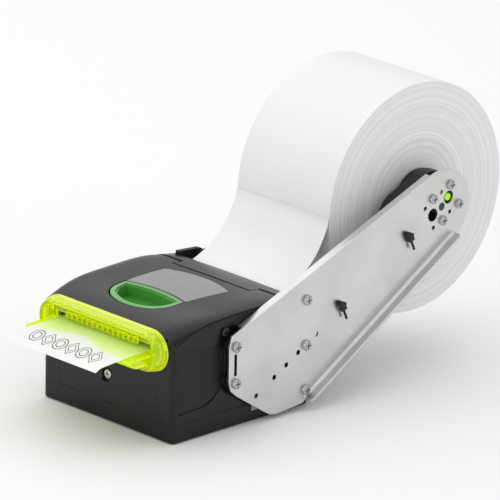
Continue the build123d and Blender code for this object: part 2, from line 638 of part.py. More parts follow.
def eject_gear():
    return gear(EJECT_TEETH, DRIVE_MODULE, 1.5, -GEAR_OUT, -GEAR_IN, EJECT_D, EJECT_Z, EJECT_TURN, 0.24)


def eject_idler_gear():
    return gear(EJECT_IDLER_TEETH, DRIVE_MODULE, 1.56, -GEAR_OUT, -GEAR_IN, *EJECT_IDLER, EJECT_IDLER_TURN, 0.24)


def pinch_roller():
    roller = rod_x(1.0, -44.9, 44.9, EJECT_D, PINCH_Z)
    for x in (-30, -10, 10, 30):
        roller += rod_x(PINCH_R, x - 5, x + 5, EJECT_D, PINCH_Z)
    return roller


# ---------------------------------------------------------------- cutter
RACK_PITCH_D = CUT_PINION_D - RACK_MODULE * 5


def cutter_blade():
    """Blade plate with a shallow V edge, and the rack that lifts it."""
    edge = [(-40.8, 42.6), (40.8, 42.6), (40.8, 55.2), (0, 53.6), (-40.8, 55.2)]
    plate = upright(BLADE_D) * make_face(Polyline(*edge, close=True))
    blade = extrude(plate, amount=-0.9)
    pitch = pi * RACK_MODULE
    back, root, tip = BLADE_D + 0.9, RACK_PITCH_D - 0.96, RACK_PITCH_D + 0.7
    line = [(back, 44.6), (back, 21.6), (root, 21.6)]
    for k in range(6):
        mid = 23.0 + (CUT_PINION_Z - 23.0) % pitch + k * pitch - pitch * (k == 99)
        line += [(root, mid - 0.86), (tip, mid - 0.28), (tip, mid + 0.28), (root, mid + 0.86)]
    line += [(root, 44.6)]
    return blade + prism_x(line, -3.4, 3.4)


def cutter_guides():
    rails = []
    for side in (-1, 1):
        x0, x1 = sorted((side * 41.2, side * 45.9))
        rail = block(x0, x1, BLADE_D - 1.2, BLADE_D + 2.2, 30, 49.4)
        rails.append(rail)
    rails.append(block(-16, -4.2, BLADE_D - 1.4, BLADE_D - 0.3, 6.2, 41))
    return Compound(rails)


def cutter_pinion():
    turn = pi / 10
    pinion = gear(10, RACK_MODULE, 1.0, -3.2, 3.2, CUT_PINION_D, CUT_PINION_Z, turn)
    return pinion + rod_x(1.1, -8.6, 3.2, CUT_PINION_D, CUT_PINION_Z)


def cutter_motor():
    can = rod_x(6.6, -30, -7.0, CUT_PINION_D, CUT_PINION_Z) - rod_x(1.3, -12, 0, CUT_PINION_D, CUT_PINION_Z)
    foot = block(-28, -10, CUT_PINION_D - 4, CUT_PINION_D + 4, 6.2, 26.2)
    return can + foot


# ---------------------------------------------------------------- electronics
def main_board():
    return block(-42, 42, 36, 104, 8.0, 9.6)


def board_chips():
    spots = [(-25, 50, 7, 7, 1.6), (5, 52, 10, 10, 1.8), (28, 48, 4, 4, 2.4), (-10, 75, 5, 8, 1.5),
             (20, 72, 6, 6, 3.0), (34, 70, 3.5, 3.5, 7.5), (-34, 80, 3.5, 3.5, 6)]
    return Compound([block(x - a, x + a, d - b, d + b, 9.6, 9.6 + h) for x, d, a, b, h in spots])


def rear_sockets():
    """USB, serial and power sockets along the back edge of the board."""
    usb = block(-36, -24, 97, 112.6, 9.6, 20.6) - block(-34.2, -25.8, 106, 114, 11.2, 19.2)
    plug = block(-15.5, 15.5, 98, 112.4, 9.6, 22) + block(-8.4, 8.4, 112, 115, 11.6, 20.2)
    plug -= block(-7.4, 7.4, 108.5, 116, 12.6, 19.2)
    power = block(23.4, 36.6, 98, 112.8, 9.6, 22.6) - rod_y(4.6, 104, 114, 30, 16)
    return Compound([usb, plug, power])


# ---------------------------------------------------------------- inlet roller
def inlet_bracket(side):
    """Lug at the back of the shell that holds one end of the inlet roller."""
    x0, x1 = sorted((side * 47.6, side * 51.0))
    foot = [(102.2, 56), (109.4, 56), (109.4, 64), (INLET_D, INLET_Z - 4.1), (INLET_D, INLET_Z + 4.1),
            (110, 71.0), (102.2, 71.6)]
    lug = prism_x(foot, x0, x1)
    lug += rod_x(4.1, x0, x1, INLET_D, INLET_Z)
    lug -= rod_x(2.05, x0 - 1, x1 + 1, INLET_D, INLET_Z)
    if side > 0:
        lug -= rod_x(1.9, 40, 60, *ARM_SCREWS[2])
    return lug


def inlet_brackets():
    return Compound([inlet_bracket(-1), inlet_bracket(1)])


def inlet_roller():
    roller = rod_x(INLET_R, -43, 43, INLET_D, INLET_Z) + rod_x(2.0, -50.9, 50.9, INLET_D, INLET_Z)
    return roller


# ---------------------------------------------------------------- roll arm
ARM_FOOT = [(40.0, 53.8), (40.0, 31.2), (41.7, 25.8), (46.9, 21.4), (68.7, 7.0), (74.1, 3.8), (79.3, 2.8), (100.9, 4.6)]


def arm_edge_angle(point, sign):
    """Direction from a point on the arm to where it touches the round end."""
    dy, dz = ROLL_D - point[0], ROLL_Z - point[1]
    return atan2(dz, dy) + sign * asin(ARM_END_R / sqrt(dy * dy + dz * dz))


def tangent_point(point, sign):
    """Where the edge from this point touches the arm's round end."""
    a = arm_edge_angle(point, sign)
    reach = sqrt((ROLL_D - point[0]) ** 2 + (ROLL_Z - point[1]) ** 2 - ARM_END_R ** 2)
    return point[0] + reach * cos(a), point[1] + reach * sin(a)


ARM_TOP_START, ARM_LOW_START = (41.9, 60.2), (100.9, 4.6)


def arm_face():
    top_end, low_end = tangent_point(ARM_TOP_START, 1), tangent_point(ARM_LOW_START, -1)
    tip = (ROLL_D + ARM_END_R, ROLL_Z)
    edges = Polyline(*[(at(d), z) for d, z in [top_end, ARM_TOP_START, *ARM_FOOT, low_end]])
    end = ThreePointArc((at(low_end[0]), low_end[1]), (at(tip[0]), tip[1]), (at(top_end[0]), top_end[1]))
    return make_face(Wire([*edges.edges(), end]))


def along(point, angle, run, rise):
    """Point a run along an edge and a rise to its left."""
    return point[0] + run * cos(angle) - rise * sin(angle), point[1] + run * sin(angle) + rise * cos(angle)


def roll_arm():
    plate = slab_x(arm_face(), ARM_IN, ARM_OUT)
    top_a, low_a = arm_edge_angle(ARM_TOP_START, 1), arm_edge_angle(ARM_LOW_START, -1)
    reach = 166.6
    strip = [along(ARM_TOP_START, top_a, s, r) for s, r in ((10, -1.5), (reach + 10, -1.5), (reach + 10, 0), (10, 0))]
    top = prism_x(strip, FLANGE_IN, ARM_OUT)
    top = fillet(top.edges().filter_by(lambda e: e.length > 150).sort_by(Axis.X)[-2:].sort_by(Axis.Z)[-1], 1.2)
    reach = 149.2
    strip = [along(ARM_LOW_START, low_a, s, r) for s, r in ((3, 0), (reach, 0), (reach, 1.5), (3, 1.5))]
    low = prism_x(strip, ARM_IN, FLANGE_OUT)
    ends = low.edges().filter_by(lambda e: 1.4 < e.length < 1.6).group_by(Axis.X)[-1]
    low = fillet(ends, 2.5)
    plate = plate + top + low
    # inside bend of the lower flange
    rib = [along(ARM_LOW_START, low_a, s, r) for s, r in ((3, 1.4), (reach, 1.4), (reach, 3.2), (3, 3.2))]
    bend = prism_x(rib, ARM_OUT - 0.1, ARM_OUT + 1.8)
    core_a, core_b = along(ARM_LOW_START, low_a, 0, 3.3), along(ARM_LOW_START, low_a, reach + 5, 3.3)
    mid = ((core_a[0] + core_b[0]) / 2, (core_a[1] + core_b[1]) / 2)
    bar = Cylinder(1.8, reach + 20)
    bar = Pos(ARM_OUT + 1.8, at(mid[0]), mid[1]) * Rot(-90, 0, 0) * bar
    bar = bar.rotate(Axis((0, at(mid[0]), mid[1]), (1, 0, 0)), low_a * 180 / pi)
    plate += bend - bar
    for d, z in ARM_SCREWS:
        plate -= rod_x(2.2, 50, 70, d, z)
    for d, z in HUB_SCREWS:
        plate -= rod_x(1.6, 50, 70, d, z)
    for d, z in SMALL_HOLES:
        plate -= rod_x(1.4, 50, 70, d, z)
    for d, z in STEP_HOLES:
        plate -= rod_x(1.65, 50, 70, d, z)
    plate -= rod_x(4.1, 50, 70, *SENSOR_EYE)
    plate -= rod_x(4.1, 50, 70, *HUB_BIG_HOLE)
    plate -= rod_x(2.55, 50, 70, ROLL_D, ROLL_Z)
    plate -= block(50, 70, 44.1, 46.5, 34.8, 48.6)
    for d, z in TIE_SPOTS:
        plate -= block(50, 70, d - 2.4, d - 0.9, z - 1.4, z + 1.4)
        plate -= block(50, 70, d + 3.6, d + 5.1, z - 1.4, z + 1.4)
    return plate


def arm_spacers():
    tubes = []
    for d, z in ARM_SCREWS:
        tubes.append(rod_x(4.4, HALF_W + 0.02, ARM_IN, d, z) - rod_x(2.1, 45, 70, d, z))
    return Compound(tubes)


def arm_screws():
    """Five screws into the printer and four into the sensor housing."""
    screws = [pan_screw(ARM_OUT, d, z, 13.5, 3.3, 2.3, 1.9) for d, z in ARM_SCREWS]
    screws += [pan_screw(ARM_OUT, d, z, 9.0, 3.0, 2.1, 1.3) for d, z in HUB_SCREWS]
    return Compound(screws)


SENSOR_IN, SENSOR_OUT = 45.8, 53.4
LOBE_B = (195.1, 97.8)


def sensor_housing():
    body = rod_x(20.0, SENSOR_IN, SENSOR_OUT, ROLL_D, ROLL_Z) + rod_x(17.4, SENSOR_IN, SENSOR_OUT, *LOBE_B)
    dy, dz = ROLL_D - LOBE_B[0], ROLL_Z - LOBE_B[1]
    dist = sqrt(dy * dy + dz * dz)
    uy, uz = dy / dist, dz / dist
    hull = [(LOBE_B[0] - uz * 17.4, LOBE_B[1] + uy * 17.4), (ROLL_D - uz * 20, ROLL_Z + uy * 20),
            (ROLL_D + uz * 20, ROLL_Z - uy * 20), (LOBE_B[0] + uz * 17.4, LOBE_B[1] - uy * 17.4)]
    body += prism_x(hull, SENSOR_IN, SENSOR_OUT)
    for d, z in HUB_SCREWS:
        body += rod_x(3.6, SENSOR_OUT - 1, ARM_IN, d, z)
    for d, z in HUB_SCREWS:
        body -= rod_x(1.35, 50, 70, d, z)
    body -= rod_x(2.32, SENSOR_IN + 2, 60, *SENSOR_EYE)
    body -= rod_x(SPINDLE_R + 0.1, 40, 60, ROLL_D, ROLL_Z)
    return body


def sensor_lens():
    return rod_x(2.3, SENSOR_IN + 2, 62.2, *SENSOR_EYE)


def cable_ties():
    ties = []
    for d, z in TIE_SPOTS:
        head = block(ARM_OUT, ARM_OUT + 3.4, d - 3.2, d + 2.4, z - 2.8, z + 3.0)
        head = fillet(head.edges().filter_by(Axis.X), 1.0)
        strap = block(ARM_OUT, ARM_OUT + 1.2, d + 2.0, d + 5.0, z - 1.3, z + 1.3)
        legs = block(ARM_IN - 2.4, ARM_OUT + 0.4, d + 3.7, d + 5.0, z - 1.3, z + 1.3)
        legs += block(ARM_IN - 2.4, ARM_OUT + 0.4, d - 2.3, d - 1.0, z - 1.3, z + 1.3)
        legs += block(ARM_IN - 3.4, ARM_IN - 2.2, d - 2.3, d + 5.0, z - 1.3, z + 1.3)
        tail = prism_x([(d + 0.4, z - 2.4), (d + 2.9, z - 2.4), (d + 4.4, z - 9.6), (d + 2.2, z - 9.6)],
                       ARM_OUT + 1.4, ARM_OUT + 2.7)
        ties.append(head + strap + legs + tail)
    return Compound(ties)


# ---------------------------------------------------------------- roll and spindle
def spindle():
    return rod_x(SPINDLE_R, -44.6, ARM_IN - 0.02, ROLL_D, ROLL_Z) + rod_x(2.5, 60, ARM_OUT, ROLL_D, ROLL_Z)


def hub_sleeve():
    sleeve = rod_x(SLEEVE_R, -41.5, 43.5, ROLL_D, ROLL_Z) + rod_x(19.0, 41.5, 44.4, ROLL_D, ROLL_Z)
    for k in range(6):
        a = pi * k / 3
        rib = rod_x(1.0, -41.5, 43, ROLL_D + SLEEVE_R * cos(a) * 0.985, ROLL_Z + SLEEVE_R * sin(a) * 0.985)
        sleeve += rib & rod_x(SLEEVE_R + 0.2, -42, 44, ROLL_D, ROLL_Z)
    sleeve -= rod_x(SPINDLE_R + 3.6, -36, 36, ROLL_D, ROLL_Z)
    return sleeve - rod_x(SPINDLE_R + 0.05, -50, 50, ROLL_D, ROLL_Z)


def roll_retainer():
    disc = rod_x(24.0, -43.2, -41.6, ROLL_D, ROLL_Z) - rod_x(SPINDLE_R + 0.3, -50, -30, ROLL_D, ROLL_Z)
    for k in range(6):
        a = pi * k / 3 + pi / 6
        disc -= rod_x(3.6, -50, -30, ROLL_D + 15.5 * cos(a), ROLL_Z + 15.5 * sin(a))
    return disc


def retainer_knob():
    knob = rod_x(8.5, -50.4, -44.6, ROLL_D, ROLL_Z)
    for k in range(12):
        a = pi * k / 6
        knob -= rod_x(1.1, -52, -43, ROLL_D + 9 * cos(a), ROLL_Z + 9 * sin(a))
    return knob


def roll_core():
    half = PAPER_W / 2
    return rod_x(CORE_OUT - 0.02, -half - 0.6, half + 0.6, ROLL_D, ROLL_Z) - rod_x(CORE_IN, -50, 50, ROLL_D, ROLL_Z)


def paper_roll():
    half = PAPER_W / 2
    return rod_x(ROLL_R, -half, half, ROLL_D, ROLL_Z) - rod_x(CORE_OUT, -50, 50, ROLL_D, ROLL_Z)


# ---------------------------------------------------------------- paper
WEB_START = (ROLL_D - ROLL_R - 0.4, ROLL_Z + 2.0)
WEB_BENDS = [(139.1, 95.6), (133.5, 86.4), (126.1, 78.6), (117.3, 72.4), (108.3, 68.3)]
WEB_END = [(101.6, 65.7), (84.0, 63.4), (34.0, 56.2), (16.4, 56.18)]


def web_line(lift):
    """The web's side view as edges, raised square to itself by lift."""
    fall = [WEB_START, *WEB_BENDS]
    free = Spline(*[(at(d), z + lift) for d, z in fall], tangents=((0, -1), (-0.93, -0.36)))
    fed = Polyline(*[(at(d), z + lift) for d, z in (fall[-1], *WEB_END)])
    return free, fed


def paper_web():
    """One length of web: it hangs off the roll, enters over the ramp and ends at the cutter."""
    low_free, low_fed = web_line(0)
    shift = Pos(-PAPER_T * 0.8, PAPER_T * 0.7)
    high_free, high_fed = shift * low_free, shift * low_fed
    ends = [Line(low_free @ 0, high_free @ 0), Line(low_fed @ 1, high_fed @ 1)]
    outline = Wire([*low_free.edges(), *low_fed.edges(), *high_free.edges(), *high_fed.edges(), *ends])
    return slab_x(make_face(outline), -PAPER_W / 2, PAPER_W / 2)


TICKET_LINE = [(10.8, 56.2), (-2.0, 56.1), (-26.0, 55.2), (-46.4, 52.4)]


def ticket():
    """A printed ticket that rests on the tongue and droops past it."""
    low = [(at(d), z) for d, z in TICKET_LINE]
    high = [(y, z + PAPER_T) for y, z in reversed(low)]
    return slab_x(make_face(Polyline(*low, *high, close=True)), -PAPER_W / 2, PAPER_W / 2)


def rating_label():
    """Blank rating plate on the side, partly under the arm."""
    return block(HALF_W + 0.02, HALF_W + 0.3, 64.3, 92, 7.0, 21.0)


NODES = [
    base_tray, main_shell, rear_deck, side_panels, service_door, case_screws, rating_label,
    bezel_frame, bezel_comb, bezel_tongue, led_board,
    cover, cover_inlay, cover_pins, fixed_blade, release_lever, latch_bar,
    print_head, head_heatsink, head_springs,
    chassis_left, chassis_right, chassis_cross, paper_ramp, bushings,
    platen_shaft, platen_rubber, platen_gear, idler_gear, motor_pinion, drive_motor,
    eject_shaft, eject_rollers, eject_gear, eject_idler_gear, pinch_roller,
    cutter_blade, cutter_guides, cutter_pinion, cutter_motor,
    main_board, board_chips, rear_sockets,
    inlet_brackets, inlet_roller,
    roll_arm, arm_spacers, arm_screws, sensor_housing, sensor_lens, cable_ties,
    spindle, hub_sleeve, roll_retainer, retainer_knob, roll_core, paper_roll,
    paper_web, ticket,
]

os.makedirs("parts", exist_ok=True)
for node in NODES:
    export_step(node(), f"parts/{node.__name__}.step")
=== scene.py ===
import bpy
import json
import math
from mathutils import Matrix, Vector


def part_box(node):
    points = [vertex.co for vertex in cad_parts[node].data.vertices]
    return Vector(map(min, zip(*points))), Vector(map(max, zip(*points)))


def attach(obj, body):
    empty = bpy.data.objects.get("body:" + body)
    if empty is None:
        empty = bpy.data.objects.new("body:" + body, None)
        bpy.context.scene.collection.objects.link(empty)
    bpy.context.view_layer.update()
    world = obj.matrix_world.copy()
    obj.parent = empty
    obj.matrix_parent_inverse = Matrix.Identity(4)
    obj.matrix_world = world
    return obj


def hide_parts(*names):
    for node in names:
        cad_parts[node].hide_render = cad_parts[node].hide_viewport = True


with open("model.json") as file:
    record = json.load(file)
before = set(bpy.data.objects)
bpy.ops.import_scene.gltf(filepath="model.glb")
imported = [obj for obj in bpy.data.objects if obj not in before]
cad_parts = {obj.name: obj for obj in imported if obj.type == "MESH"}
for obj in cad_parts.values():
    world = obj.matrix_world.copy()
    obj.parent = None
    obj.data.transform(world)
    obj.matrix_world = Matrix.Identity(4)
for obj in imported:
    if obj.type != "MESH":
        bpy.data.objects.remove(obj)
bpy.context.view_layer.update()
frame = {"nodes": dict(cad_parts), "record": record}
nodes = frame["nodes"]


# small helpers for shader trees
def calc(tree, operation, *values):
    node = tree.nodes.new("ShaderNodeMath")
    node.operation = operation
    for socket, value in zip(node.inputs, values):
        if isinstance(value, bpy.types.NodeSocket):
            tree.links.new(value, socket)
        else:
            socket.default_value = value
    return node.outputs["Value"]


def ramp(tree, source, low, high, fromLow=0.0, fromHigh=1.0):  # low at fromLow, high at fromHigh
    node = tree.nodes.new("ShaderNodeMapRange")
    node.inputs["From Min"].default_value = fromLow
    node.inputs["From Max"].default_value = fromHigh
    node.inputs["To Min"].default_value = low
    node.inputs["To Max"].default_value = high
    tree.links.new(source, node.inputs["Value"])
    return node.outputs["Result"]


def mixColours(tree, factor, first, second):
    mix = tree.nodes.new("ShaderNodeMix")
    mix.data_type = "RGBA"
    for socket, value in ((mix.inputs[0], factor), (mix.inputs[6], first), (mix.inputs[7], second)):
        if isinstance(value, bpy.types.NodeSocket):
            tree.links.new(value, socket)
        else:
            socket.default_value = (*value, 1)
    return mix.outputs[2]


def objectParts(tree):  # X, Y and Z of the place on the piece, in metres
    coords = tree.nodes.new("ShaderNodeTexCoord")
    parts = tree.nodes.new("ShaderNodeSeparateXYZ")
    tree.links.new(coords.outputs["Object"], parts.inputs["Vector"])
    return parts.outputs


# effect groups, built once and shared
def makeGrainGroup():
    effect = {"wideScale": 34.0, "bumpDepth": 0.0002, "edgeFrom": 0.80, "edgeTo": 0.985}
    group = bpy.data.node_groups.new("surfaceGrain", "ShaderNodeTree")
    for name in ("Scale", "Strength", "Round"):
        group.interface.new_socket(name=name, in_out="INPUT", socket_type="NodeSocketFloat")
    for name, kind in (("Normal", "Vector"), ("Patches", "Float"), ("Edge", "Float")):
        group.interface.new_socket(name=name, in_out="OUTPUT", socket_type="NodeSocket" + kind)
    start = group.nodes.new("NodeGroupInput")
    end = group.nodes.new("NodeGroupOutput")
    coords = group.nodes.new("ShaderNodeTexCoord")
    fine = group.nodes.new("ShaderNodeTexNoise")
    fine.inputs["Detail"].default_value = 3.0
    wide = group.nodes.new("ShaderNodeTexNoise")
    wide.inputs["Scale"].default_value = effect["wideScale"]
    wide.inputs["Detail"].default_value = 4.0
    rounded = group.nodes.new("ShaderNodeBevel")  # softens the look of each edge
    rounded.samples = 4
    bump = group.nodes.new("ShaderNodeBump")
    bump.inputs["Distance"].default_value = effect["bumpDepth"]
    link = group.links.new
    link(coords.outputs["Object"], fine.inputs["Vector"])
    link(coords.outputs["Object"], wide.inputs["Vector"])
    link(start.outputs["Scale"], fine.inputs["Scale"])
    link(start.outputs["Round"], rounded.inputs["Radius"])
    link(rounded.outputs["Normal"], bump.inputs["Normal"])
    link(start.outputs["Strength"], bump.inputs["Strength"])
    link(fine.outputs["Fac"], bump.inputs["Height"])
    link(bump.outputs["Normal"], end.inputs["Normal"])
    link(wide.outputs["Fac"], end.inputs["Patches"])
    flat = group.nodes.new("ShaderNodeNewGeometry")
    turned = group.nodes.new("ShaderNodeVectorMath")  # falls below one where an edge is rounded
    turned.operation = "DOT_PRODUCT"
    link(flat.outputs["Normal"], turned.inputs[0])
    link(rounded.outputs["Normal"], turned.inputs[1])
    edge = ramp(group, turned.outputs["Value"], 1.0, 0.0, effect["edgeFrom"], effect["edgeTo"])
    link(edge, end.inputs["Edge"])
    return group


def makeWindingGroup():  # rings round an axis along X, for the side of wound paper
    winding = {"ringScale": 432.0, "layerScale": 1890.0, "brightRadius": 0.0405, "brightFrom": 0.0002,
               "brightTo": 0.0006}
    group = bpy.data.node_groups.new("woundPaper", "ShaderNodeTree")
    for name in ("CentreY", "CentreZ"):
        group.interface.new_socket(name=name, in_out="INPUT", socket_type="NodeSocketFloat")
    for name in ("Rings", "Bright", "Layers"):
        group.interface.new_socket(name=name, in_out="OUTPUT", socket_type="NodeSocketFloat")
    start = group.nodes.new("NodeGroupInput")
    end = group.nodes.new("NodeGroupOutput")
    place = objectParts(group)
    offY = calc(group, "SUBTRACT", place["Y"], start.outputs["CentreY"])
    offZ = calc(group, "SUBTRACT", place["Z"], start.outputs["CentreZ"])
    squares = calc(group, "ADD", calc(group, "MULTIPLY", offY, offY), calc(group, "MULTIPLY", offZ, offZ))
    radius = calc(group, "SQRT", squares)
    for name, scale, detail in (("Rings", winding["ringScale"], 5.0), ("Layers", winding["layerScale"], 2.0)):
        noise = group.nodes.new("ShaderNodeTexNoise")
        noise.noise_dimensions = "1D"
        noise.inputs["Scale"].default_value = scale
        noise.inputs["Detail"].default_value = detail
        group.links.new(radius, noise.inputs["W"])
        group.links.new(noise.outputs["Fac"], end.inputs[name])
    away = calc(group, "ABSOLUTE", calc(group, "SUBTRACT", radius, winding["brightRadius"]))
    bright = ramp(group, away, 1.0, 0.0, winding["brightFrom"], winding["brightTo"])
    group.links.new(bright, end.inputs["Bright"])
    return group


grainGroup = makeGrainGroup()
windingGroup = makeWindingGroup()
print("effects")


# materials
def shade(name, color, second, rough, grain, roundEdge=0.0003, paintedEdgeHighlight=None, **extra):
    # grain is its scale and strength, and second is the colour that color drifts to
    material = bpy.data.materials.new(name)
    material.use_nodes = True
    tree = material.node_tree
    base = tree.nodes["Principled BSDF"]
    effect = tree.nodes.new("ShaderNodeGroup")
    effect.name = "grain"
    effect.node_tree = grainGroup
    effect.inputs["Scale"].default_value = grain[0]
    effect.inputs["Strength"].default_value = grain[1]
    effect.inputs["Round"].default_value = roundEdge
    drift = ramp(tree, effect.outputs["Patches"], 0.0, 1.0, 0.35, 0.65)
    final = mixColours(tree, drift, color, second or [c * 0.9 for c in color])
    # painted highlight: a lighter colour along rounded edges
    if paintedEdgeHighlight:
        final = mixColours(tree, effect.outputs["Edge"], final, paintedEdgeHighlight)
    tree.links.new(final, base.inputs["Base Color"])
    dull = ramp(tree, effect.outputs["Patches"], rough[0], rough[1], 0.3, 0.7)
    tree.links.new(dull, base.inputs["Roughness"])
    tree.links.new(effect.outputs["Normal"], base.inputs["Normal"])
    for key, value in extra.items():
        base.inputs[key.replace("_", " ")].default_value = value
    return material


def baseColour(material):  # the colour that feeds the shader now
    return material.node_tree.nodes["Principled BSDF"].inputs["Base Color"].links[0].from_socket


def paintedEdgeGlow(material, centre, edge, light):  # painted glow: emission and a lighter colour towards the edges stand in for the light that the dyed clear plastic collects at its edges
    tree = material.node_tree
    base = tree.nodes["Principled BSDF"]
    facing = tree.nodes.new("ShaderNodeLayerWeight")
    facing.inputs["Blend"].default_value = 0.45
    tree.links.new(mixColours(tree, facing.outputs["Facing"], centre, edge), base.inputs["Base Color"])
    dim = [c * 0.18 for c in light]
    tree.links.new(mixColours(tree, facing.outputs["Facing"], dim, light), base.inputs["Emission Color"])
    base.inputs["Emission Strength"].default_value = 1.0


def windRings(material, dark, bright, centre):  # rings of a wound roll
    tree = material.node_tree
    base = tree.nodes["Principled BSDF"]
    wound = tree.nodes.new("ShaderNodeGroup")
    wound.node_tree = windingGroup
    wound.inputs["CentreY"].default_value = centre[1]
    wound.inputs["CentreZ"].default_value = centre[2]
    amount = ramp(tree, wound.outputs["Rings"], 0.0, 1.0, 0.4, 0.62)
    ringed = mixColours(tree, amount, baseColour(material), dark)
    tree.links.new(mixColours(tree, wound.outputs["Bright"], ringed, bright), base.inputs["Base Color"])
    bump = tree.nodes.new("ShaderNodeBump")
    bump.inputs["Strength"].default_value = 0.2
    bump.inputs["Distance"].default_value = 0.0002
    tree.links.new(wound.outputs["Layers"], bump.inputs["Height"])
    tree.links.new(tree.nodes["grain"].outputs["Normal"], bump.inputs["Normal"])
    tree.links.new(bump.outputs["Normal"], base.inputs["Normal"])


def scoopPaintedShade(material, deep, slope, floorZ, rimZ):  # painted shade: darker green with depth below the sloping rim
    tree = material.node_tree
    place = objectParts(tree)
    along = calc(tree, "MULTIPLY", place["Y"], math.sin(math.atan(slope)))
    height = calc(tree, "SUBTRACT", calc(tree, "MULTIPLY", place["Z"], math.cos(math.atan(slope))), along)
    depth = ramp(tree, height, 1.0, 0.0, floorZ, rimZ)
    tree.links.new(mixColours(tree, depth, baseColour(material), deep),
                   tree.nodes["Principled BSDF"].inputs["Base Color"])


def blackBeyond(material, dark, limit):  # blackened past this X
    tree = material.node_tree
    base = tree.nodes["Principled BSDF"]
    place = objectParts(tree)
    beyond = ramp(tree, place["X"], 0.0, 1.0, limit, limit + 0.001)
    tree.links.new(mixColours(tree, beyond, baseColour(material), dark), base.inputs["Base Color"])
    tree.links.new(calc(tree, "SUBTRACT", 1.0, beyond), base.inputs["Metallic"])


def printTicket(material, ink, row, glow):  # a row of outlined shapes, and painted lime light from the tongue below
    tree = material.node_tree
    place = objectParts(tree)
    deep = calc(tree, "SUBTRACT", place["Y"], row["middleY"])
    slanted = calc(tree, "ADD", place["X"], calc(tree, "MULTIPLY", deep, row["slant"]))
    cell = calc(tree, "DIVIDE", calc(tree, "SUBTRACT", slanted, row["startX"]), row["pitch"])
    across = calc(tree, "MULTIPLY", calc(tree, "SUBTRACT", calc(tree, "FRACT", cell), 0.5), row["pitch"])
    flat = calc(tree, "MULTIPLY", deep, row["squash"])
    squares = calc(tree, "ADD", calc(tree, "MULTIPLY", across, across), calc(tree, "MULTIPLY", flat, flat))
    disc = calc(tree, "SQRT", squares)
    corners = calc(tree, "ADD", calc(tree, "ABSOLUTE", across), calc(tree, "ABSOLUTE", flat))
    diamond = calc(tree, "MULTIPLY", corners, row["diamondSize"])
    odd = calc(tree, "MODULO", calc(tree, "FLOOR", cell), 2.0)
    even = calc(tree, "SUBTRACT", 1.0, odd)
    size = calc(tree, "ADD", calc(tree, "MULTIPLY", disc, even), calc(tree, "MULTIPLY", diamond, odd))
    lines = []
    for radius in row["radii"]:
        gap = calc(tree, "ABSOLUTE", calc(tree, "SUBTRACT", size, radius))
        lines.append(ramp(tree, gap, 1.0, 0.0, row["line"] * 0.4, row["line"]))
    rings = calc(tree, "MAXIMUM", *lines)
    started = calc(tree, "GREATER_THAN", cell, 0.0)
    inside = calc(tree, "MULTIPLY", started, calc(tree, "LESS_THAN", cell, row["count"]))
    # painted lime light, strongest just past the tongue's wavy lip
    aside = calc(tree, "DIVIDE", calc(tree, "SUBTRACT", place["X"], glow["x"]), glow["wide"])
    bell = calc(tree, "POWER", aside, 2.0)
    lip = calc(tree, "MULTIPLY", calc(tree, "EXPONENT", calc(tree, "MULTIPLY", bell, -1.0)), glow["hollow"])
    over = calc(tree, "SUBTRACT", calc(tree, "SUBTRACT", place["Y"], glow["lipY"]), lip)
    lit = mixColours(tree, ramp(tree, over, 0.0, 1.0, -0.0006, 0.0022), baseColour(material), glow["near"])
    lit = mixColours(tree, ramp(tree, over, 0.0, 0.55, 0.002, 0.02), lit, glow["deep"])
    tree.links.new(mixColours(tree, calc(tree, "MULTIPLY", rings, inside), lit, ink),
                   tree.nodes["Principled BSDF"].inputs["Base Color"])


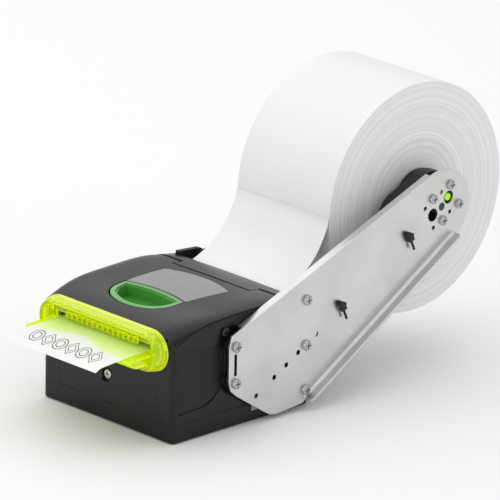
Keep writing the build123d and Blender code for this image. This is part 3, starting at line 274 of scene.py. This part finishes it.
black = {"Specular_IOR_Level": 0.32}
metal = {"Metallic": 1.0}
lime = {"Transmission_Weight": 0.82, "IOR": 1.45}
gloss = {"Coat_Weight": 0.3, "Coat_Roughness": 0.15}
paintedEdgeShine = (0.97, 0.97, 0.97)
looks = {
    # the black housing takes a painted highlight along its rounded edges
    "housing": shade("housingBlack", (0.004, 0.004, 0.0038), (0.0065, 0.0065, 0.006), (0.20, 0.29),
                     (2600, 0.10), 0.0007, (0.035, 0.035, 0.034), **black),
    "side_inset": shade("insetBlack", (0.006, 0.006, 0.006), (0.009, 0.009, 0.009), (0.40, 0.50),
                        (2200, 0.22), **black),
    "inlay_grey": shade("inlayGrey", (0.30, 0.30, 0.31), (0.28, 0.28, 0.29), (0.42, 0.50), (2600, 0.08)),
    "lever_green": shade("leverGreen", (0.36, 0.68, 0.31), (0.33, 0.64, 0.28), (0.24, 0.32), (2600, 0.05),
                         0.0006, **gloss),
    "lime_glow": shade("limePaintedGlow", (0.66, 0.88, 0.01), None, (0.06, 0.14), (1500, 0.02), 0.0005, **lime),
    "screw_steel": shade("screwSteel", (0.55, 0.55, 0.54), (0.42, 0.42, 0.41), (0.16, 0.28),
                         (2500, 0.10), **metal),
    "label": shade("labelGrey", (0.42, 0.43, 0.44), None, (0.40, 0.50), (2500, 0.03)),
    "sheet_steel": shade("sheetSteel", (0.50, 0.50, 0.50), (0.44, 0.44, 0.44), (0.30, 0.42),
                         (1200, 0.06), **metal),
    # the arm takes a near-white painted highlight along its bends and edges
    "arm_metal": shade("armMetal", (0.69, 0.69, 0.68), (0.63, 0.63, 0.625), (0.27, 0.35), (2400, 0.02),
                       0.0007, paintedEdgeShine, **metal),
    "black_part": shade("blackPart", (0.008, 0.008, 0.008), (0.012, 0.012, 0.012), (0.36, 0.46), (2000, 0.12),
                        **black),
    "rubber": shade("rubberBlack", (0.015, 0.015, 0.015), None, (0.60, 0.75), (1500, 0.15)),
    "gear": shade("gearCream", (0.70, 0.68, 0.60), None, (0.40, 0.50), (1500, 0.04)),
    "shaft_steel": shade("shaftSteel", (0.60, 0.60, 0.60), None, (0.20, 0.30), (2000, 0.04), **metal),
    "brass": shade("brassYellow", (0.60, 0.42, 0.16), None, (0.25, 0.35), (2000, 0.04), **metal),
    "motor": shade("motorCan", (0.05, 0.05, 0.055), None, (0.35, 0.45), (1500, 0.10), Metallic=0.6),
    "ceramic": shade("headCeramic", (0.45, 0.40, 0.33), None, (0.30, 0.40), (1500, 0.03)),
    "sink": shade("sinkAluminium", (0.60, 0.60, 0.60), None, (0.35, 0.45), (1500, 0.08), **metal),
    "board": shade("boardGreen", (0.010, 0.10, 0.03), (0.012, 0.13, 0.04), (0.30, 0.40), (900, 0.03)),
    "chips": shade("chipBlack", (0.015, 0.015, 0.015), None, (0.45, 0.55), (2000, 0.10)),
    "paper": shade("paperWhite", (0.90, 0.90, 0.895), (0.88, 0.88, 0.875), (0.45, 0.55), (3000, 0.03), 0.0),
    "core": shade("coreCard", (0.36, 0.25, 0.15), (0.32, 0.22, 0.13), (0.70, 0.80), (1200, 0.15)),
}
# painted glow on the lime bezel plastic: emission and lighter edges
paintedEdgeGlow(looks["lime_glow"], (0.70, 0.86, 0.0), (0.95, 1.0, 0.06), (0.19, 0.215, 0.0))
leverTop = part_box("release_lever")[1][2]
# painted shade deepening into the lever's finger scoop
scoopPaintedShade(looks["lever_green"], (0.055, 0.30, 0.035), 0.086, leverTop + 0.001, leverTop + 0.0025)
# painted glow: the green sensor lens is given emission though it is no lamp
lensPaintedGlowLook = shade("lensGreenPaintedGlow", (0.36, 0.66, 0.01), (0.30, 0.60, 0.01), (0.10, 0.16), (1500, 0.02),
                 Emission_Color=(0.34, 0.60, 0.0, 1), Emission_Strength=0.45)
spindleLook = looks["shaft_steel"].copy()
spindleLook.name = "spindleSteel"
blackBeyond(spindleLook, (0.02, 0.02, 0.02), 0.0585)
caseScrewLook = looks["screw_steel"].copy()
caseScrewLook.name = "caseScrews"
blackBeyond(caseScrewLook, (0.01, 0.01, 0.01), 0.04)
ownLooks = {"case_screws": caseScrewLook, "spindle": spindleLook, "sensor_lens": lensPaintedGlowLook}
slotOf = {part["node"]: part["material_slot"] for part in frame["record"]["subparts"]}
for name, node in nodes.items():
    node.data.materials.clear()
    node.data.materials.append(ownLooks.get(name, looks[slotOf[name]]))
print("materials")


# modelling helpers, which act on the active piece
def startMesh(name):
    bpy.context.object.name = name
    bpy.ops.object.transform_apply(location=True, rotation=True, scale=True)
    bpy.ops.object.mode_set(mode="EDIT")


def pickFaces(test):
    bpy.ops.mesh.select_all(action="DESELECT")
    bpy.ops.mesh.select_mode(type="FACE")
    bpy.ops.object.mode_set(mode="OBJECT")
    for face in bpy.context.object.data.polygons:
        face.select = test(face)
    bpy.ops.object.mode_set(mode="EDIT")


def pickEdgesAt(y):  # the edges that run across the piece at this Y
    bpy.ops.mesh.select_all(action="DESELECT")
    bpy.ops.mesh.select_mode(type="EDGE")
    bpy.ops.object.mode_set(mode="OBJECT")
    mesh = bpy.context.object.data
    for edge in mesh.edges:
        edge.select = all(abs(mesh.vertices[corner].co.y - y) < 0.00001 for corner in edge.vertices)
    bpy.ops.object.mode_set(mode="EDIT")


def finishPiece(body, node, look):
    piece = bpy.context.object
    bpy.ops.mesh.select_all(action="SELECT")
    bpy.ops.mesh.remove_doubles(threshold=0.000001)
    bpy.ops.mesh.normals_make_consistent(inside=False)
    bpy.ops.object.mode_set(mode="OBJECT")
    bpy.ops.object.shade_smooth_by_angle(angle=math.radians(35))
    piece.data.materials.clear()
    piece.data.materials.append(look)
    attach(piece, body)
    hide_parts(node)


def makeRoll():
    roll = {"sides": 192, "rings": 26, "step": 0.00005, "coreGap": 0.00003,
            "dark": (0.80, 0.80, 0.785), "bright": (0.99, 0.99, 0.985)}
    low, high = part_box("paper_roll")
    coreLow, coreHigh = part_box("roll_core")
    centre = [(a + b) / 2 for a, b in zip(low, high)]
    radius, coreRadius = (high[2] - low[2]) / 2, (coreHigh[2] - coreLow[2]) / 2
    bpy.ops.object.select_all(action="DESELECT")
    bpy.ops.mesh.primitive_cylinder_add(vertices=roll["sides"], radius=radius, depth=high[0] - low[0],
                                        location=centre, rotation=(0, math.pi / 2, 0))
    startMesh("woundRoll")
    pickFaces(lambda face: abs(face.normal.x) > 0.9)
    width = (radius - coreRadius - roll["coreGap"]) / roll["rings"]
    for ring in range(roll["rings"]):
        lift = roll["step"] * abs(math.sin(ring * 2.3))  # zero for the first ring, which stays flush
        bpy.ops.mesh.inset(thickness=width, depth=-lift if ring % 2 else lift * 0.4, use_even_offset=True)
    bpy.ops.mesh.bridge_edge_loops()  # the bore for the core
    look = looks["paper"].copy()
    look.name = "rollPaper"
    windRings(look, roll["dark"], roll["bright"], centre)
    finishPiece("roll", "paper_roll", look)


def makeTicket():
    ticket = {"droop": ((0.0275, -0.0012), (0.0125, -0.0011), (0.0115, -0.0019)), "thick": 0.00018,
              "cuts": 10, "smoothing": 12, "ink": (0.02, 0.02, 0.02)}
    row = {"slant": 0.35, "startX": -0.031, "pitch": 0.0102, "squash": 0.66, "diamondSize": 0.88,
           "radii": (0.0047, 0.0027), "line": 0.00042, "count": 6.0}
    glow = {"x": -0.005, "wide": 0.016, "hollow": 0.0086, "near": (0.80, 0.95, 0.42),
            "deep": (0.62, 0.86, 0.06)}
    low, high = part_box("ticket")
    row["middleY"] = low[1] + 0.0135
    glow["lipY"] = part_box("bezel_tongue")[0][1]
    front = high[1] - ticket["droop"][0][0] / 2
    bpy.ops.object.select_all(action="DESELECT")
    middle = ((low[0] + high[0]) / 2, (front + high[1]) / 2, high[2] - 0.0001)
    bpy.ops.mesh.primitive_plane_add(size=1, location=middle)
    bpy.ops.transform.resize(value=(high[0] - low[0], high[1] - front, 1))
    startMesh("printedTicket")
    for run, fall in ticket["droop"]:
        pickEdgesAt(front)
        run = min(run, front - low[1])
        bpy.ops.mesh.extrude_edges_move(TRANSFORM_OT_translate={"value": (0, -run, fall)})
        front -= run
    bpy.ops.mesh.select_all(action="SELECT")
    bpy.ops.mesh.subdivide(number_cuts=ticket["cuts"])
    bpy.ops.object.mode_set(mode="OBJECT")
    smooth = bpy.context.object.modifiers.new("smooth", "SMOOTH")
    smooth.iterations = ticket["smoothing"]
    smooth.use_x = smooth.use_y = False
    solid = bpy.context.object.modifiers.new("thick", "SOLIDIFY")
    solid.thickness = ticket["thick"]
    for name in ("smooth", "thick"):
        bpy.ops.object.modifier_apply(modifier=name)
    bpy.ops.object.mode_set(mode="EDIT")
    look = looks["paper"].copy()
    look.name = "ticketPaper"
    printTicket(look, ticket["ink"], row, glow)
    finishPiece("printer", "ticket", look)


def addBlock(centre, size, turn):
    bpy.ops.mesh.primitive_cube_add(size=1, location=centre, rotation=(turn, 0, 0))
    bpy.ops.transform.resize(value=size, orient_type="LOCAL")
    return bpy.context.object


def makeTies():
    tie = {"head": (0.0034, 0.0042, 0.0052), "lock": (0.0026, 0.0030, 0.0026),
           "tail": (0.0009, 0.0018, 0.0078), "lockAt": (0.0002, -0.0014, 0.0022),
           "tailAt": (0.0008, 0.0016, -0.0048),
           "lean": math.radians(24), "soft": 0.0005}
    low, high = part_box("cable_ties")
    places = ((low[1] + 0.0030, low[2] + 0.0098), (high[1] - 0.0052, high[2] - 0.0028))
    for number, (y, z) in enumerate(places):
        bpy.ops.object.select_all(action="DESELECT")
        middle = Vector((high[0] - tie["head"][0] / 2, y, z))
        blocks = [addBlock(middle, tie["head"], tie["lean"]),
                  addBlock(middle + Vector(tie["lockAt"]), tie["lock"], -tie["lean"]),
                  addBlock(middle + Vector(tie["tailAt"]), tie["tail"], tie["lean"])]
        for block in blocks:
            block.select_set(True)
        bpy.context.view_layer.objects.active = blocks[0]
        bpy.ops.object.join()
        startMesh(f"cableTie{number + 1}")
        bpy.ops.mesh.select_all(action="SELECT")
        bpy.ops.mesh.bevel(offset=tie["soft"], segments=3, affect="EDGES")
        finishPiece("printer", "cable_ties", looks["black_part"])


makeRoll()
print("roll")
makeTicket()
print("ticket")
makeTies()
print("ties")


# floor, lights and camera
def makeStage():
    stage = {"floorSize": 30.0, "floorShade": (0.95, 0.95, 0.95, 1), "floorRough": 0.9}
    bpy.ops.mesh.primitive_plane_add(size=stage["floorSize"])
    floor = bpy.context.object
    floor.name = "floor"
    material = bpy.data.materials.new("floorPale")
    material.use_nodes = True
    base = material.node_tree.nodes["Principled BSDF"]
    base.inputs["Base Color"].default_value = stage["floorShade"]
    base.inputs["Roughness"].default_value = stage["floorRough"]
    floor.data.materials.append(material)


def addLight(name, position, aim, size, power):
    data = bpy.data.lights.new(name, "AREA")
    data.shape = "RECTANGLE"
    data.size, data.size_y = size
    data.energy = power
    lamp = bpy.data.objects.new(name, data)
    bpy.context.scene.collection.objects.link(lamp)
    lamp.location = position
    lamp.rotation_euler = (Vector(aim) - Vector(position)).to_track_quat("-Z", "Y").to_euler()


def makeLights():
    lights = {"key": 18.0, "side": 1.6, "front": 4.5, "sky": 0.655, "aim": (0.0, 0.06, 0.06)}
    addLight("keyLight", (-0.6, 0.1, 1.6), lights["aim"], (2.8, 2.8), lights["key"])
    addLight("sideLight", (1.5, 0.3, 0.7), lights["aim"], (1.0, 1.0), lights["side"])
    addLight("frontLight", (0.3, -1.6, 0.6), lights["aim"], (1.4, 0.8), lights["front"])
    world = bpy.data.worlds.new("studio")
    bpy.context.scene.world = world
    world.use_nodes = True
    world.node_tree.nodes["Background"].inputs["Color"].default_value = (1, 1, 1, 1)
    world.node_tree.nodes["Background"].inputs["Strength"].default_value = lights["sky"]
    bpy.context.scene.view_settings.view_transform = "Standard"


def makeCamera():
    shot = {"azimuth": 46.165, "elevation": 18.898, "roll": 1.0216, "lens": 529.22, "sensor": 36.0,
            "position": (3.024048, -2.843761, 1.517008)}
    data = bpy.data.cameras.new("camera")
    data.lens = shot["lens"]
    data.sensor_width = shot["sensor"]
    data.clip_start, data.clip_end = 0.1, 100.0
    camera = bpy.data.objects.new("camera", data)
    bpy.context.scene.collection.objects.link(camera)
    turn, lift = math.radians(shot["azimuth"]), math.radians(shot["elevation"])
    back = Vector((math.sin(turn) * math.cos(lift), -math.cos(turn) * math.cos(lift), math.sin(lift)))
    right = Vector((math.cos(turn), math.sin(turn), 0))
    level = Matrix((right, back.cross(right), back)).transposed()
    camera.matrix_world = (Matrix.Translation(Vector(shot["position"])) @ level.to_4x4()
                           @ Matrix.Rotation(math.radians(shot["roll"]), 4, "Z"))
    bpy.context.scene.camera = camera


makeStage()
makeLights()
makeCamera()
print("stage")
